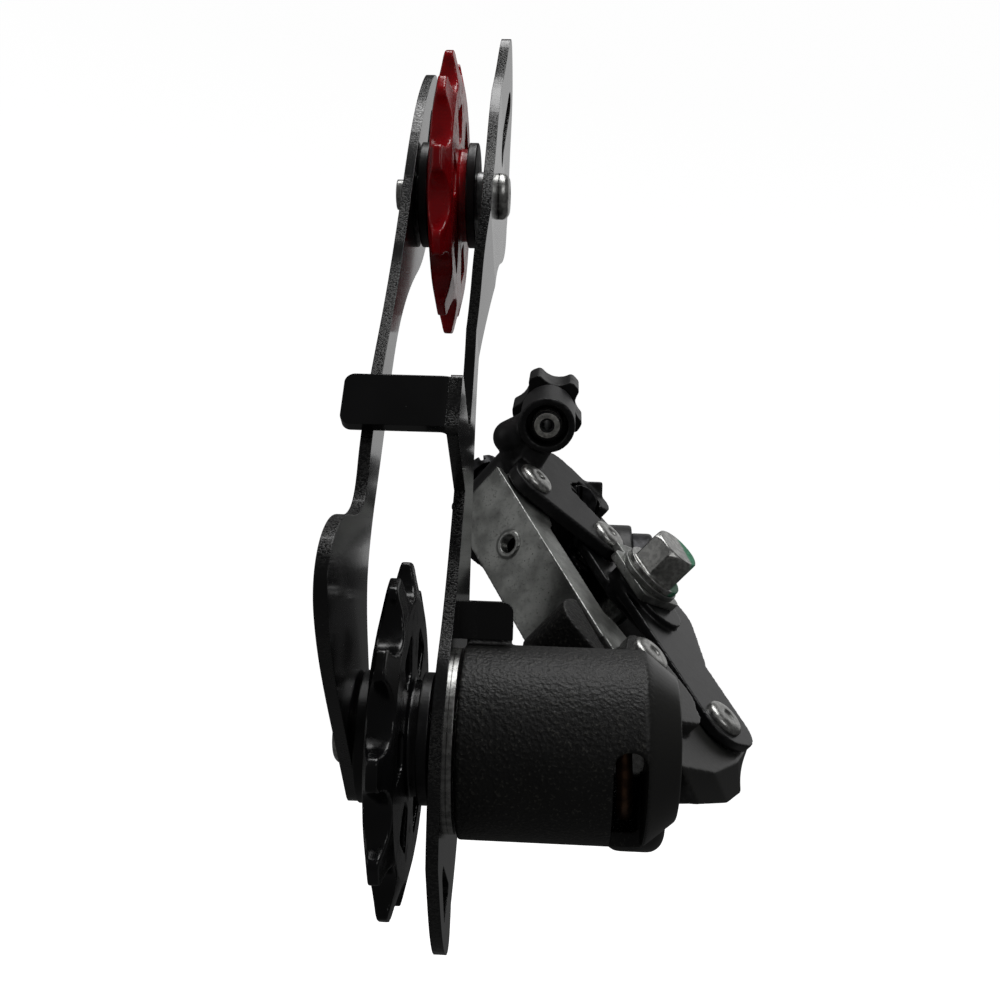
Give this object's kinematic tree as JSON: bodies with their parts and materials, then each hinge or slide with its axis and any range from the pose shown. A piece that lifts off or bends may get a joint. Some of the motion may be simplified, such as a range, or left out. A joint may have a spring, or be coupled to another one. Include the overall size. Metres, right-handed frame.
{
  "type": "rear bicycle derailleur",
  "caption": "Long-cage rear bicycle derailleur with slant parallelogram, sprung chain cage, black and red pulleys, hanger bolt, barrel adjuster and cable clamp bolt.",
  "frame": {"origin": "on the hanger bolt's axis, at the shoulder that bears on the frame's hanger", "axes": "+X along the hanger bolt's axis, outboard away from the wheel; Y and Z as the part lies in the picture, so on a bicycle the whole part is turned about X"},
  "size_m": [0.0603, 0.1101, 0.1394],
  "materials": {
    "black_plate": "gloss black paint",
    "black_cast": "satin black paint",
    "black_textured": "rough black powder coat",
    "black_plastic": "moulded black plastic",
    "red_plastic": "moulded red plastic",
    "zinc_plate": "zinc plated",
    "cap_black": "moulded black",
    "pin_steel": "nickel plated",
    "dark_steel": "black oxide",
    "bush_steel": "ground",
    "spring_wire": "oil tempered"
  },
  "bodies": {
    "frame_mount": {"hanger_bolt": "dark_steel", "hanger_stop_washer": "zinc_plate"},
    "b_knuckle": {"b_knuckle": "black_cast", "inner_link_b_pin": "pin_steel", "outer_link_b_pin": "pin_steel", "return_spring": "dark_steel"},
    "barrel": {"barrel_adjuster": "black_plastic"},
    "high_screw": {"high_limit_screw": "dark_steel"},
    "low_screw": {"low_limit_screw": "dark_steel"},
    "tension_screw": {"b_tension_screw": "dark_steel"},
    "inner_link": {"inner_link": "zinc_plate"},
    "outer_link": {"outer_link": "black_plate", "pinch_plate": "zinc_plate", "anchor_washer": "zinc_plate"},
    "anchor": {"anchor_bolt": "pin_steel"},
    "p_knuckle": {"p_knuckle": "black_textured", "inner_link_p_pin": "pin_steel", "outer_link_p_pin": "pin_steel", "cage_spring": "spring_wire"},
    "cage": {"cage_outer_plate": "black_plate", "cage_inner_plate": "black_plate", "cage_axle": "pin_steel", "axle_clip": "pin_steel", "knuckle_seal_ring": "pin_steel", "guide_pulley_bush": "bush_steel", "tension_pulley_bush": "bush_steel", "guide_cap_inner": "cap_black", "guide_cap_outer": "cap_black", "tension_cap_inner": "cap_black", "tension_cap_outer": "cap_black", "guide_pulley_bolt": "pin_steel", "tension_pulley_bolt": "pin_steel"},
    "guide_pulley": {"guide_pulley": "black_plastic"},
    "tension_pulley": {"tension_pulley": "red_plastic"}
  },
  "joints": [
    {"name": "b_pivot", "type": "hinge", "parent": "frame_mount", "child": "b_knuckle", "pos_m": [0, 0, 0], "axis": [1, 0, 0], "range_deg": [0, 30]},
    {"name": "link_swing", "type": "hinge", "parent": "b_knuckle", "child": "outer_link", "pos_m": [0.01112, -0.02461, 0.00873], "axis": [-0.6388, 0.2994, -0.7087], "range_deg": [0, 48], "stiffness_Nm_per_rad": 0.35, "springref_deg": -34.38, "deforming": ["return_spring"]},
    {"name": "inner_link_swing", "type": "hinge", "parent": "b_knuckle", "child": "inner_link", "pos_m": [-0.0015, -0.0296, 0.018], "axis": [-0.6388, 0.2994, -0.7087], "range_deg": [0, 48]},
    {"name": "knuckle_swing", "type": "hinge", "parent": "outer_link", "child": "p_knuckle", "pos_m": [0.02948, -0.04709, -0.01732], "axis": [-0.6388, 0.2994, -0.7087], "range_deg": [-48, 0]},
    {"name": "cage_pivot", "type": "hinge", "parent": "p_knuckle", "child": "cage", "pos_m": [-0.018, -0.0657, -0.0198], "axis": [1, 0, 0], "range_deg": [0, 115], "stiffness_Nm_per_rad": 0.25, "springref_deg": -51.57, "deforming": ["cage_spring"]},
    {"name": "guide_pulley_spin", "type": "hinge", "parent": "cage", "child": "guide_pulley", "pos_m": [-0.018, -0.0745, -0.018], "axis": [1, 0, 0], "continuous": true},
    {"name": "tension_pulley_spin", "type": "hinge", "parent": "cage", "child": "tension_pulley", "pos_m": [-0.018, -0.03034, 0.06453], "axis": [1, 0, 0], "continuous": true},
    {"name": "barrel_turn", "type": "hinge", "parent": "b_knuckle", "child": "barrel", "pos_m": [-0.0006, -0.0285, 0.0263], "axis": [0, 0.9507, 0.3102], "range_deg": [-360, 360]},
    {"name": "high_screw_turn", "type": "hinge", "parent": "b_knuckle", "child": "high_screw", "pos_m": [-0.01266, -0.0117, 0.01939], "axis": [0.4707, -0.5765, -0.6679], "range_deg": [-360, 360]},
    {"name": "low_screw_turn", "type": "hinge", "parent": "b_knuckle", "child": "low_screw", "pos_m": [-0.0084, -0.00638, 0.0178], "axis": [0.4707, -0.5765, -0.6679], "range_deg": [-360, 360]},
    {"name": "tension_screw_turn", "type": "hinge", "parent": "b_knuckle", "child": "tension_screw", "pos_m": [0.0054, -0.0145, 0.0135], "axis": [0, 1, 0], "range_deg": [-360, 360]},
    {"name": "anchor_turn", "type": "hinge", "parent": "outer_link", "child": "anchor", "pos_m": [0.01654, -0.03124, 0.00105], "axis": [0.6388, -0.2994, 0.7087], "range_deg": [-360, 360]}
  ],
  "couplings": [
    {"joint": "inner_link_swing", "follows": "link_swing", "ratio": 1},
    {"joint": "knuckle_swing", "follows": "link_swing", "ratio": -1}
  ]
}
